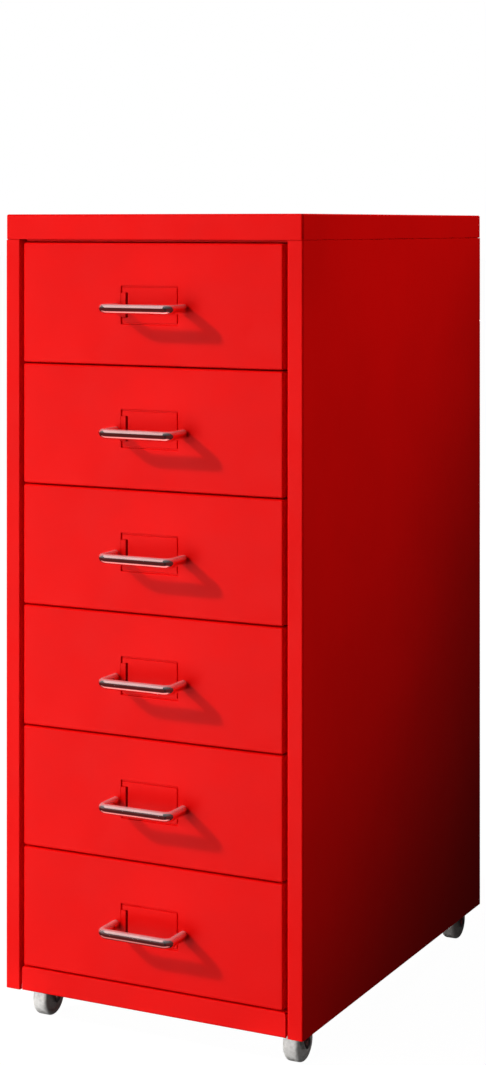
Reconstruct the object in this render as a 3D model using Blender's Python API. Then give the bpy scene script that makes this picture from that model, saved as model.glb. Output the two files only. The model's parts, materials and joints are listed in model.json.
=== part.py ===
"""A narrow steel drawer cabinet: six drawers on folded runners, on four swivel castors.

The cabinet stands on z = 0 and faces -Y. Its origin is on the floor, under the middle of
its outer box, which the handles lengthen at the front. Sizes are in metres.
"""

import math

import bmesh
import bpy
from mathutils import Matrix, Vector
from mathutils.geometry import convex_hull_2d

# Outer sizes
WIDTH = 0.280
BODY_DEPTH = 0.400
HANDLE_REACH = 0.029
HEIGHT = 0.690
FLOOR_GAP = 0.030

# Sheet metal
SHEET = 0.0008
BEND = 0.0010
PAN_BEND = 0.0012
FIT = 0.0003
BEND_STEPS = 2

# Carcass
STILE_WIDTH = 0.014
STILE_RETURN = 0.012
STILE_RELIEF_START = 0.0035
STILE_RELIEF_HEIGHT = 0.0045
REAR_FLANGE = 0.014
CAP_HEIGHT = 0.0212
CAP_SEAM = 0.0004
TONGUE_OVERLAP = 0.010
TONGUE_RISE = 0.017
TONGUE_STEP = 0.0010
TONGUE_JOG = 0.0009
TONGUE_SHEET = 0.0006
TONGUE_BEND = 0.0004
TONGUE_FRONT_SPACE = 0.0013
TONGUE_REAR_SPACE = 0.016
STILE_TONGUE_INNER = 0.1275
STILE_TONGUE_OUTER = 0.1386
STILE_TONGUE_RISE = 0.0002
TOP_RAIL_DEPTH = 0.015
TOP_RAIL_RISE = 0.0005
TOP_RAIL_END_SPACE = 0.0035
TOP_RAIL_LIP_PLACE = 0.009
TOP_RAIL_LIP_SPACE = 0.0008
TOP_RAIL_LIP_END_SPACE = 0.0015
BACK_FLANGE = 0.012
BACK_FOOT_SPACE = 0.0015
BACK_HEAD_SPACE = 0.0027
BACK_SIDE_FIT = 0.0006
PAN_LEVEL = 0.0442
PAN_FLANGE = 0.0045
PAN_SIDE_SPACE = 0.003
PAN_TONGUE_SPACE = 0.0012
PAN_SHOULDER_SPACE = 0.0015
PAN_FRONT_SPACE = 0.0022
PAN_REAR_SPACE = 0.0028
PLINTH_SIDE_GAP = 0.0018
PLINTH_SETBACK = 0.0006
PLINTH_DEPTH = 0.012
PLINTH_HEM = 0.006
PLINTH_HEM_GAP = 0.0008
PLINTH_BEND = 0.0007
PLINTH_END_FOLD = 0.0045

# Drawers
DRAWER_COUNT = 6
DRAWER_PITCH = 0.1026
LOWEST_GAP_LEVEL = 0.051
FRONT_GAP = 0.0011
FRONT_SIDE_GAP = 0.0036
FRONT_RETURN = 0.014
DRAWER_TRAVEL = 0.300
TRAY_HALF_WIDTH = 0.1125
TRAY_TOP = 0.036
TRAY_BOTTOM = -0.0445
TRAY_REAR_SPACE = 0.022
FLANGE_HALF_WIDTH = 0.1230
FLANGE_LIP = 0.0035
FLANGE_NOTCH_SPACE = 0.001
STOP_TAB_INNER = 0.1150
STOP_TAB_OUTER = 0.1215
STOP_TAB_RISE = 0.0035
STOP_TAB_SHEET = 0.0010
STOP_PLAY = 0.0004
BACK_HEM = 0.006

# Runners
RUNNER_SHEET = 0.0010
RUNNER_FOOT_END = 0.1142
RUNNER_HEAD_END = 0.1180
RUNNER_HEADROOM = 0.0052
RUNNER_STOP_DROP = 0.0045
RUNNER_STOP_PROUD = 0.0001
RUNNER_FRONT_SPACE = 0.0005
RUNNER_REAR_SPACE = 0.0155

# Label holder pressed into each front
LABEL_WIDTH = 0.054
LABEL_HEIGHT = 0.032
LABEL_DEPTH = 0.0016
LABEL_DROP = 0.0008
LABEL_GROOVE = 0.0014
LABEL_PANEL_DEPTH = 0.0004
LABEL_TAB_DEPTH = 0.00015
LABEL_SLOT_INSET = 0.0044
LABEL_SLOT_WIDTH = 0.0018
LABEL_SLOT_HEIGHT = 0.0205

# Handles
HANDLE_SPACING = 0.064
HANDLE_ROD = 0.0040
HANDLE_CORNER = 0.0060
HANDLE_DROP = 0.0032
HANDLE_HOLE = 0.0021
HANDLE_BEND_STEPS = 4

# Castors
WHEEL_RADIUS = 0.016
WHEEL_HALF_WIDTH = 0.0068
HUB_HALF_WIDTH = 0.0071
CASTOR_TRAIL = 0.010
CASTOR_X = 0.119
CASTOR_FRONT_INSET = 0.025
CASTOR_REAR_INSET = 0.028
HUB_RADIUS = 0.0048
WEB_INNER_RADIUS = 0.0054
WEB_OUTER_RADIUS = 0.0112
WEB_HALF_WIDTH = 0.0050
RIM_INNER_RADIUS = 0.0120
TREAD_SHOULDER = ((0.0024, WHEEL_HALF_WIDTH), (0.0008, 0.0056), (0.0, 0.0036))
AXLE_RADIUS = 0.0020
AXLE_HEAD_RADIUS = 0.0034
AXLE_HEAD_TOP_RADIUS = 0.0028
AXLE_HEAD_HEIGHT = 0.0012
STEM_RADIUS = 0.0040
STEM_FOOT_RADIUS = 0.0052
STEM_FOOT_HEIGHT = 0.0014
STEM_HEAD_RADIUS = 0.0062
STEM_HEAD_TOP_RADIUS = 0.0048
STEM_HEAD_HEIGHT = 0.0016
RACE_LOW_RADIUS = 0.0125
RACE_RADIUS = 0.0145
RACE_CONE = 0.0030
FORK_TOP = 0.0381
FORK_SHEET = 0.0015
FORK_CROWN_RADIUS = 0.013
FORK_INNER_HALF = 0.0076
FORK_OUTER_HALF = 0.0090
FORK_EYE_RADIUS = 0.0052
FORK_LEG_FRONT = -0.0085
FORK_LEG_REAR = 0.0090

ROUND_STEPS = 20
MOUNT_STEPS = 16
SMALL_ROUND_STEPS = 10
CUT_REACH = 0.002

FRONT_Y = HANDLE_REACH - (BODY_DEPTH + HANDLE_REACH) / 2
BACK_Y = FRONT_Y + BODY_DEPTH
HALF_WIDTH = WIDTH / 2
CAP_EDGE = HEIGHT - CAP_HEIGHT
OPENING_HALF = HALF_WIDTH - STILE_WIDTH
FRONT_HALF_WIDTH = OPENING_HALF - FRONT_SIDE_GAP
FRONT_HALF_HEIGHT = (DRAWER_PITCH - FRONT_GAP) / 2
TRAY_REAR = BACK_Y - TRAY_REAR_SPACE
RUNNER_FRONT = FRONT_Y + FRONT_RETURN + RUNNER_FRONT_SPACE
RUNNER_REAR = BACK_Y - RUNNER_REAR_SPACE

AXES = {
    "X": lambda a, b, c: Vector((c, a, b)),
    "Y": lambda a, b, c: Vector((a, c, b)),
    "Z": lambda a, b, c: Vector((a, b, c)),
}


def material(name, color, roughness, metallic):
    made = bpy.data.materials.new(name)
    made.use_nodes = True
    made.diffuse_color = (*color, 1.0)
    shader = made.node_tree.nodes["Principled BSDF"]
    shader.inputs["Base Color"].default_value = (*color, 1.0)
    shader.inputs["Roughness"].default_value = roughness
    shader.inputs["Metallic"].default_value = metallic
    return made


def add_object(name, data, finish=None):
    made = bpy.data.objects.new(name, data)
    bpy.context.collection.objects.link(made)
    if finish and not data.materials:
        data.materials.append(finish)
    return made


def mesh_from(name, builder):
    """A mesh from a bmesh, with its faces turned outwards."""
    bmesh.ops.recalc_face_normals(builder, faces=builder.faces)
    mesh = bpy.data.meshes.new(name)
    builder.to_mesh(mesh)
    builder.free()
    return mesh


def freeze(item):
    """Gives an object its evaluated mesh and drops its modifiers."""
    bpy.context.view_layer.update()
    graph = bpy.context.evaluated_depsgraph_get()
    mesh = bpy.data.meshes.new_from_object(item.evaluated_get(graph))
    item.modifiers.clear()
    item.data = mesh
    return item


def combine(item, tool, operation):
    """Joins a second solid to an object, or cuts it away, and removes the second solid."""
    change = item.modifiers.new(operation.lower(), "BOOLEAN")
    change.operation = operation
    change.solver = "EXACT"
    change.object = tool
    freeze(item)
    bpy.data.objects.remove(tool)
    return item


def bent_strip(corners, thickness=SHEET, bend=BEND):
    """Outline of a strip of sheet folded along a line of corners, with round bends."""
    points = [Vector(corner) for corner in corners]
    legs = [(b - a).normalized() for a, b in zip(points, points[1:])]
    normals = [Vector((-leg.y, leg.x)) for leg in legs]
    middle = [(points[0], normals[0])]
    for corner, leg, normal, next_leg in zip(points[1:], legs, normals, legs[1:]):
        turn = math.atan2(leg.x * next_leg.y - leg.y * next_leg.x, leg.dot(next_leg))
        side = math.copysign(bend, turn)
        centre = corner - leg * bend * math.tan(abs(turn) / 2) + normal * side
        for step in range(BEND_STEPS + 1):
            turned_normal = Matrix.Rotation(turn * step / BEND_STEPS, 2) @ normal
            middle.append((centre - turned_normal * side, turned_normal))
    middle.append((points[-1], normals[-1]))
    left = [point + normal * thickness / 2 for point, normal in middle]
    right = [point - normal * thickness / 2 for point, normal in middle]
    return left + right[::-1]


def extruded(name, outline, axis, low, high, finish=None):
    """A solid of one outline drawn square to an axis, from low to high along it."""
    builder = bmesh.new()
    place = AXES[axis]
    base = builder.faces.new([builder.verts.new(place(a, b, low)) for a, b in outline])
    grown = bmesh.ops.extrude_face_region(builder, geom=[base])["geom"]
    moved = [part for part in grown if isinstance(part, bmesh.types.BMVert)]
    bmesh.ops.translate(builder, verts=moved, vec=place(0, 0, high - low))
    return add_object(name, mesh_from(name, builder), finish)


def rectangle(left, right, low, high):
    return [(left, low), (right, low), (right, high), (left, high)]


def block(low, high):
    outline = rectangle(low[0], high[0], low[1], high[1])
    return extruded("block", outline, "Z", low[2], high[2])


def pan(name, outline, axis, closed, opened, finish):
    """A pressed sheet pan: a closed face, walls round its outline, and open at the other end."""
    item = extruded(name, outline, axis, closed, opened, finish)
    builder = bmesh.new()
    builder.from_mesh(item.data)
    along = "XYZ".index(axis)
    lid = [
        face
        for face in builder.faces
        if all(abs(corner.co[along] - opened) < 1e-6 for corner in face.verts)
    ]
    bmesh.ops.delete(builder, geom=lid, context="FACES_ONLY")
    folds = [edge for edge in builder.edges if not edge.is_boundary]
    bmesh.ops.bevel(
        builder, geom=folds, offset=PAN_BEND, segments=2, profile=0.5, affect="EDGES"
    )
    builder.to_mesh(item.data)
    builder.free()
    thicken = item.modifiers.new("sheet", "SOLIDIFY")
    thicken.thickness = SHEET
    thicken.offset = -1
    thicken.use_even_offset = True
    return freeze(item)


def turned(name, profile, axis, finish=None, bored=False, steps=ROUND_STEPS):
    """A turned solid from (radius, height) points, bored through if its profile is a ring."""
    builder = bmesh.new()
    place = AXES[axis]
    rings = []
    for radius, height in profile:
        angles = [2 * math.pi * step / steps for step in range(steps)]
        ring = [
            place(radius * math.cos(a), radius * math.sin(a), height) for a in angles
        ]
        rings.append([builder.verts.new(point) for point in ring])
    pairs = list(zip(rings, rings[1:]))
    if bored:
        pairs.append((rings[-1], rings[0]))
    else:
        builder.faces.new(rings[0])
        builder.faces.new(rings[-1])
    for lower, upper in pairs:
        for step in range(steps):
            after = (step + 1) % steps
            builder.faces.new((lower[step], lower[after], upper[after], upper[step]))
    mesh = mesh_from(name, builder)
    mesh.shade_smooth()
    mesh.set_sharp_from_angle(angle=math.radians(35))
    return add_object(name, mesh, finish)


def rod(radius, low, high, axis, steps=SMALL_ROUND_STEPS):
    return turned("rod", [(radius, low), (radius, high)], axis, steps=steps)


def copies(first, names_and_places):
    """Puts a copy of a solid at each place, and removes the first one."""
    made = []
    for name, place in names_and_places:
        item = add_object(name, first.data)
        item.location = place
        made.append(item)
    bpy.data.objects.remove(first)
    return made


def side_panel(name, side, finish):
    """A side wall folded into a stile at the front and a flange at the back.

    Wall and stile are stepped inwards at the top to stand inside the cap, and the stile's
    return is cut short at its foot, where the front castor's wheel swings past.
    """
    wall = side * (HALF_WIDTH - SHEET / 2)
    edge = side * (OPENING_HALF + SHEET / 2)
    front = FRONT_Y + SHEET / 2
    back = BACK_Y - SHEET / 2
    corners = [
        (edge, FRONT_Y + STILE_RETURN),
        (edge, front),
        (wall, front),
        (wall, back),
        (side * (HALF_WIDTH - REAR_FLANGE), back),
    ]
    top = CAP_EDGE - CAP_SEAM
    item = extruded(name, bent_strip(corners), "Z", FLOOR_GAP, top, finish)
    inner = wall - side * TONGUE_STEP
    tongue = [
        (wall, top - TONGUE_OVERLAP),
        (wall, top - TONGUE_JOG),
        (inner, top),
        (inner, top + TONGUE_RISE),
    ]
    outline = bent_strip(tongue, TONGUE_SHEET, TONGUE_BEND)
    low, high = FRONT_Y + TONGUE_FRONT_SPACE, BACK_Y - TONGUE_REAR_SPACE
    combine(item, extruded("tongue", outline, "Y", low, high), "UNION")
    ends = sorted((side * STILE_TONGUE_INNER, side * STILE_TONGUE_OUTER))
    behind = FRONT_Y + SHEET + FIT
    steps = (
        (front, top - TONGUE_JOG),
        (behind, CAP_EDGE + STILE_TONGUE_RISE),
    )
    for face, rise in steps:
        step = block(
            (ends[0], face, top - TONGUE_OVERLAP),
            (ends[1], behind + TONGUE_SHEET, rise),
        )
        combine(item, step, "UNION")
    ends = sorted((edge - side * SHEET, edge + side * SHEET))
    relief = block(
        (ends[0], FRONT_Y + STILE_RELIEF_START, FLOOR_GAP - CUT_REACH),
        (ends[1], FRONT_Y + STILE_RETURN + CUT_REACH, FLOOR_GAP + STILE_RELIEF_HEIGHT),
    )
    return combine(item, relief, "DIFFERENCE")


def top_cap(finish):
    outline = rectangle(-HALF_WIDTH, HALF_WIDTH, FRONT_Y, BACK_Y)
    return pan("top_cap", outline, "Z", HEIGHT, CAP_EDGE, finish)


def top_rail(finish):
    """The channel behind the cap's front edge, with a lip down to the highest drawer."""
    face = FRONT_Y + SHEET + FIT + SHEET / 2
    low = CAP_EDGE + TOP_RAIL_RISE + SHEET / 2
    high = HEIGHT - SHEET - FIT - SHEET / 2
    rear = FRONT_Y + TOP_RAIL_DEPTH
    lip = FRONT_Y + TOP_RAIL_LIP_PLACE
    foot = drawer_level(1) + FRONT_HALF_HEIGHT + TOP_RAIL_LIP_SPACE
    corners = [(lip, foot), (lip, low), (face, low), (face, high), (rear, high)]
    half = HALF_WIDTH - TOP_RAIL_END_SPACE
    item = extruded("top_rail", bent_strip(corners), "X", -half, half, finish)
    for side in (-1, 1):
        ends = sorted(
            (side * (OPENING_HALF - TOP_RAIL_LIP_END_SPACE), side * HALF_WIDTH)
        )
        notch = block((ends[0], face + SHEET, foot - CUT_REACH), (ends[1], rear, CAP_EDGE + FIT))
        combine(item, notch, "DIFFERENCE")
    return item


def back_panel(finish):
    """The back sheet, inside the rear flanges of the side panels."""
    half = HALF_WIDTH - SHEET - BACK_SIDE_FIT - SHEET / 2
    back = BACK_Y - SHEET - FIT - SHEET / 2
    front = back - BACK_FLANGE
    corners = [(-half, front), (-half, back), (half, back), (half, front)]
    foot, head = FLOOR_GAP + BACK_FOOT_SPACE, HEIGHT - SHEET - BACK_HEAD_SPACE
    return extruded("back_panel", bent_strip(corners), "Z", foot, head, finish)


def castor_places():
    """Each castor's corner name and the place of its swivel axis on the floor."""
    rows = (
        ("front", FRONT_Y + CASTOR_FRONT_INSET),
        ("rear", BACK_Y - CASTOR_REAR_INSET),
    )
    sides = (("left", -CASTOR_X), ("right", CASTOR_X))
    return [
        (f"{row}_{side}", Vector((x, y, 0.0))) for row, y in rows for side, x in sides
    ]


def base_pan(finish):
    """The floor of the carcass, which the castors are riveted to."""
    half = HALF_WIDTH - PAN_SIDE_SPACE
    tongue = OPENING_HALF - PAN_TONGUE_SPACE
    shoulder = FRONT_Y + STILE_RETURN + PAN_SHOULDER_SPACE
    front = FRONT_Y + PAN_FRONT_SPACE
    back = BACK_Y - PAN_REAR_SPACE
    outline = [
        (-tongue, front),
        (tongue, front),
        (tongue, shoulder),
        (half, shoulder),
        (half, back),
        (-half, back),
        (-half, shoulder),
        (-tongue, shoulder),
    ]
    item = pan("base_pan", outline, "Z", PAN_LEVEL, PAN_LEVEL + PAN_FLANGE, finish)
    for _, place in castor_places():
        low, high = PAN_LEVEL - CUT_REACH, PAN_LEVEL + SHEET + CUT_REACH
        hole = rod(STEM_RADIUS + FIT, low, high, "Z")
        hole.location = place
        combine(item, hole, "DIFFERENCE")
    return item


def plinth_rail(finish):
    """The rail under the lowest drawer, set back a little.

    Its ends are folded back below the base pan, whose front edge closes the space above.
    """
    half = OPENING_HALF - PLINTH_SIDE_GAP
    low = FLOOR_GAP
    high = LOWEST_GAP_LEVEL - FRONT_GAP / 2
    face = FRONT_Y + PLINTH_SETBACK + SHEET / 2
    hem = face + SHEET + PLINTH_HEM_GAP
    corners = [
        (hem, low + PLINTH_HEM),
        (hem, low + SHEET / 2),
        (face, low + SHEET / 2),
        (face, high - SHEET / 2),
        (face - SHEET / 2 + PLINTH_DEPTH, high - SHEET / 2),
    ]
    outline = bent_strip(corners, bend=PLINTH_BEND)
    item = extruded("plinth_rail", outline, "X", -half, half, finish)
    for side in (-1, 1):
        ends = sorted((side * (half - SHEET), side * half))
        fold = block(
            (ends[0], face, low + PLINTH_BEND),
            (ends[1], face - SHEET / 2 + PLINTH_END_FOLD, PAN_LEVEL - FIT),
        )
        combine(item, fold, "UNION")
    return item


def drawer_level(number):
    """Height of the middle of a drawer's front. Drawer 1 is at the top."""
    return LOWEST_GAP_LEVEL + DRAWER_PITCH * (DRAWER_COUNT - number + 0.5)


def runner(side, finish):
    """One folded channel that a drawer's side flange slides in, at drawer level 0."""
    web = HALF_WIDTH - SHEET - FIT - RUNNER_SHEET / 2
    foot = TRAY_TOP - FLANGE_LIP - FIT - RUNNER_SHEET / 2
    head = TRAY_TOP + RUNNER_HEADROOM + RUNNER_SHEET / 2
    corners = [
        (side * RUNNER_FOOT_END, foot),
        (side * web, foot),
        (side * web, head),
        (side * RUNNER_HEAD_END, head),
    ]
    outline = bent_strip(corners, RUNNER_SHEET)
    item = extruded("runner", outline, "Y", RUNNER_FRONT, RUNNER_REAR, finish)
    ends = sorted((side * RUNNER_HEAD_END, side * FLANGE_HALF_WIDTH))
    tab = block(
        (ends[0], RUNNER_FRONT - RUNNER_STOP_PROUD, head - RUNNER_STOP_DROP),
        (ends[1], RUNNER_FRONT + STOP_TAB_SHEET, head + RUNNER_STOP_PROUD),
    )
    return combine(item, tab, "UNION")


def drawer_front(finish):
    """A front pressed as a pan, with the handle's holes and the label holder.

    The holder is a sunk panel in a groove. At its left a card tucks in behind a tab, which
    stands flush with the front and has a slot beside it.
    """
    half = FRONT_HALF_WIDTH
    outline = rectangle(-half, half, -FRONT_HALF_HEIGHT, FRONT_HALF_HEIGHT)
    back = FRONT_Y + FRONT_RETURN
    item = pan("drawer_front", outline, "Y", FRONT_Y, back, finish)
    half = LABEL_WIDTH / 2
    low = -LABEL_DROP - LABEL_HEIGHT / 2
    high = -LABEL_DROP + LABEL_HEIGHT / 2
    slot_low = -LABEL_DROP - LABEL_SLOT_HEIGHT / 2
    slot_high = -LABEL_DROP + LABEL_SLOT_HEIGHT / 2
    slot_left = -half + LABEL_SLOT_INSET
    slot_right = slot_left + LABEL_SLOT_WIDTH
    front, back = FRONT_Y - CUT_REACH, FRONT_Y + LABEL_DEPTH + SHEET + CUT_REACH
    floor, behind = FRONT_Y + LABEL_DEPTH, FRONT_Y + LABEL_DEPTH + SHEET / 2
    edge = LABEL_GROOVE
    dish, panel, tab = FRONT_Y + SHEET / 2, FRONT_Y + LABEL_PANEL_DEPTH, FRONT_Y + LABEL_TAB_DEPTH
    steps = (
        ("UNION", (-half - SHEET, half + SHEET), (low - SHEET, high + SHEET), (dish, floor + SHEET)),
        ("DIFFERENCE", (-half, half), (low, high), (front, floor)),
        ("UNION", (edge - half, half - edge), (low + edge, high - edge), (panel, behind)),
        ("DIFFERENCE", (-half, slot_right), (slot_low - FIT, slot_high + FIT), (front, floor)),
        ("UNION", (-half - SHEET / 2, slot_left), (slot_low, slot_high), (tab, behind)),
        ("DIFFERENCE", (slot_left, slot_right), (slot_low, slot_high), (front, back)),
    )
    for operation, across, up, depth in steps:
        corners = zip(across, depth, up)
        combine(item, block(*corners), operation)
    for side in (-1, 1):
        hole = rod(HANDLE_HOLE, front, back, "Y")
        hole.location = (side * HANDLE_SPACING / 2, 0, -HANDLE_DROP)
        combine(item, hole, "DIFFERENCE")
    return item


def drawer_tray(finish):
    """The drawer's floor and sides in one folded sheet, with flanges that run in the runners."""
    right = [
        (FLANGE_HALF_WIDTH, TRAY_TOP - FLANGE_LIP),
        (FLANGE_HALF_WIDTH, TRAY_TOP),
        (TRAY_HALF_WIDTH, TRAY_TOP),
        (TRAY_HALF_WIDTH, TRAY_BOTTOM),
    ]
    left = [(-x, z) for x, z in reversed(right)]
    front = FRONT_Y + SHEET + FIT
    outline = bent_strip(right + left)
    item = extruded("drawer_tray", outline, "Y", front, TRAY_REAR, finish)
    notch_end = FRONT_Y + FRONT_RETURN + FLANGE_NOTCH_SPACE
    tab_front = RUNNER_FRONT + STOP_TAB_SHEET + DRAWER_TRAVEL + STOP_PLAY
    for side in (-1, 1):
        ends = sorted((side * (TRAY_HALF_WIDTH + SHEET), side * HALF_WIDTH))
        notch = block(
            (ends[0], FRONT_Y - CUT_REACH, TRAY_TOP - FLANGE_LIP - CUT_REACH),
            (ends[1], notch_end, TRAY_TOP + CUT_REACH),
        )
        combine(item, notch, "DIFFERENCE")
        ends = sorted((side * STOP_TAB_INNER, side * STOP_TAB_OUTER))
        tab = block(
            (ends[0], tab_front, TRAY_TOP),
            (ends[1], tab_front + STOP_TAB_SHEET, TRAY_TOP + STOP_TAB_RISE),
        )
        combine(item, tab, "UNION")
    return item


def drawer_back(finish):
    """The drawer's rear wall, with a stiffening fold along its top."""
    half = TRAY_HALF_WIDTH - SHEET / 2 - FIT
    wall = TRAY_REAR - BACK_HEM - SHEET / 2
    top = TRAY_TOP - SHEET / 2
    corners = [
        (wall, TRAY_BOTTOM + SHEET / 2 + FIT),
        (wall, top),
        (TRAY_REAR, top),
    ]
    return extruded("drawer_back", bent_strip(corners), "X", -half, half, finish)


def handle(finish):
    """A round bar bent into a bow, which stands on the front at its two ends."""
    half = HANDLE_SPACING / 2
    foot = FRONT_Y - FIT
    bar = FRONT_Y - HANDLE_REACH + HANDLE_ROD
    steps = HANDLE_BEND_STEPS
    arc = [math.pi / 2 * step / steps for step in range(steps + 1)]
    corner = HANDLE_CORNER
    left = [
        (
            -half + corner * (1 - math.cos(a)),
            bar + corner * (1 - math.sin(a)),
        )
        for a in arc
    ]
    route = [(-half, foot)] + left
    route += [(-x, y) for x, y in reversed(route)]
    curve = bpy.data.curves.new("drawer_handle", "CURVE")
    curve.dimensions = "3D"
    curve.bevel_depth = HANDLE_ROD
    curve.bevel_resolution = 3
    curve.use_fill_caps = True
    line = curve.splines.new("POLY")
    line.points.add(len(route) - 1)
    for point, (x, y) in zip(line.points, route):
        point.co = (x, y, 0.0, 1.0)
    return add_object("drawer_handle", curve, finish)


def castor_mount(finish):
    """The raceway and plate under the base pan, riveted through it and through the fork."""
    under = PAN_LEVEL - FIT
    over = PAN_LEVEL + SHEET + FIT
    crown_low = FORK_TOP - FORK_SHEET - FIT
    crown_high = FORK_TOP + FIT
    profile = [
        (STEM_FOOT_RADIUS, crown_low - STEM_FOOT_HEIGHT),
        (STEM_FOOT_RADIUS, crown_low),
        (STEM_RADIUS, crown_low),
        (STEM_RADIUS, crown_high),
        (RACE_LOW_RADIUS, crown_high),
        (RACE_RADIUS, crown_high + RACE_CONE),
        (RACE_RADIUS, under),
        (STEM_RADIUS, under),
        (STEM_RADIUS, over),
        (STEM_HEAD_RADIUS, over),
        (STEM_HEAD_TOP_RADIUS, over + STEM_HEAD_HEIGHT),
    ]
    return turned("castor_mount", profile, "Z", finish, steps=MOUNT_STEPS)


def castor_fork(finish):
    """A pressed fork: a round crown under the raceway and two legs down to the axle."""
    low = FORK_TOP - FORK_SHEET
    inner = STEM_RADIUS + FIT
    crown = [
        (inner, low),
        (FORK_CROWN_RADIUS, low),
        (FORK_CROWN_RADIUS, FORK_TOP),
        (inner, FORK_TOP),
    ]
    item = turned("castor_fork", crown, "Z", finish, bored=True)
    top = low + FORK_SHEET / 2
    turns = [2 * math.pi * step / ROUND_STEPS for step in range(ROUND_STEPS)]
    eye = [
        (
            CASTOR_TRAIL + FORK_EYE_RADIUS * math.cos(angle),
            WHEEL_RADIUS + FORK_EYE_RADIUS * math.sin(angle),
        )
        for angle in turns
    ]
    points = [(FORK_LEG_FRONT, top), (FORK_LEG_REAR, top)] + eye
    outline = [points[index] for index in convex_hull_2d(points)]
    for side in (-1, 1):
        ends = sorted((side * FORK_INNER_HALF, side * FORK_OUTER_HALF))
        combine(item, extruded("leg", outline, "X", *ends), "UNION")
    reach = FORK_OUTER_HALF + CUT_REACH
    hole = rod(AXLE_RADIUS + FIT, -reach, reach, "X")
    hole.location = (0, CASTOR_TRAIL, WHEEL_RADIUS)
    return combine(item, hole, "DIFFERENCE")


def castor_wheel(finish):
    """A moulded wheel with round shoulders, a dished side and a plain bore."""
    bore = AXLE_RADIUS + FIT
    half = [
        (bore, HUB_HALF_WIDTH),
        (HUB_RADIUS, HUB_HALF_WIDTH),
        (WEB_INNER_RADIUS, WEB_HALF_WIDTH),
        (WEB_OUTER_RADIUS, WEB_HALF_WIDTH),
        (RIM_INNER_RADIUS, WHEEL_HALF_WIDTH),
    ]
    half += [(WHEEL_RADIUS - inset, height) for inset, height in TREAD_SHOULDER]
    profile = half + [(radius, -height) for radius, height in reversed(half)]
    return turned("castor_wheel", profile, "X", finish, bored=True)


def castor_axle(finish):
    """A rivet through the fork's legs and the wheel."""
    seat = FORK_OUTER_HALF + FIT
    half = [
        (AXLE_HEAD_TOP_RADIUS, seat + AXLE_HEAD_HEIGHT),
        (AXLE_HEAD_RADIUS, seat),
        (AXLE_RADIUS, seat),
    ]
    profile = half + [(radius, -height) for radius, height in reversed(half)]
    return turned("castor_axle", profile, "X", finish, steps=SMALL_ROUND_STEPS)


def build_carcass(paint):
    side_panel("side_panel_left", -1, paint)
    side_panel("side_panel_right", 1, paint)
    top_cap(paint)
    top_rail(paint)
    back_panel(paint)
    base_pan(paint)
    plinth_rail(paint)
    for name, side in (("left", -1), ("right", 1)):
        places = [
            (f"runner_{name}_{number}", (0, 0, drawer_level(number)))
            for number in range(1, DRAWER_COUNT + 1)
        ]
        copies(runner(side, paint), places)


def build_drawers(paint, bright):
    """Each drawer's pieces hang from an empty at the middle of its closed front."""
    slides = {}
    for number in range(1, DRAWER_COUNT + 1):
        slide = add_object(f"drawer_slide_{number}", None)
        slide.location = (0, 0, drawer_level(number))
        slides[number] = slide
    pieces = (
        ("drawer_front", drawer_front(paint), 0.0),
        ("drawer_tray", drawer_tray(paint), 0.0),
        ("drawer_back", drawer_back(paint), 0.0),
        ("drawer_handle", handle(bright), -HANDLE_DROP),
    )
    for kind, first, drop in pieces:
        names = [(f"{kind}_{number}", (0, 0, drop)) for number in slides]
        for item, slide in zip(copies(first, names), slides.values()):
            item.parent = slide


def build_castors(zinc, plastic):
    """Each fork turns about its swivel empty, and each wheel about its axle empty."""
    places = castor_places()
    mounts = [(f"castor_mount_{corner}", place) for corner, place in places]
    copies(castor_mount(zinc), mounts)
    pieces = (
        ("castor_fork", castor_fork(zinc), False),
        ("castor_axle", castor_axle(zinc), True),
        ("castor_wheel", castor_wheel(plastic), True),
    )
    swivels = {}
    for corner, place in places:
        swivel = add_object(f"castor_swivel_{corner}", None)
        swivel.location = place
        hub = add_object(f"castor_hub_{corner}", None)
        hub.location = (0, CASTOR_TRAIL, WHEEL_RADIUS)
        hub.parent = swivel
        swivels[corner] = (swivel, hub)
    for kind, first, at_hub in pieces:
        names = [(f"{kind}_{corner}", (0, 0, 0)) for corner in swivels]
        for item, parents in zip(copies(first, names), swivels.values()):
            item.parent = parents[at_hub]


def main():
    for item in list(bpy.data.objects):
        bpy.data.objects.remove(item)
    paint = material("red_powder_coat", (0.86, 0.003, 0.002), 0.42, 0.0)
    bright = material("chrome_plate", (0.82, 0.82, 0.84), 0.12, 1.0)
    zinc = material("zinc_plate", (0.55, 0.56, 0.58), 0.35, 1.0)
    plastic = material("grey_plastic", (0.58, 0.57, 0.55), 0.45, 0.0)
    build_carcass(paint)
    build_drawers(paint, bright)
    build_castors(zinc, plastic)


main()
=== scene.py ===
"""The looks of the steel drawer cabinet: fine sheet-metal shapes, powder coat, chrome and zinc.

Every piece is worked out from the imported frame, in metres, in the frame's own axes:
the cabinet stands on z = 0 and its drawers face -Y.
"""

import math

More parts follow.
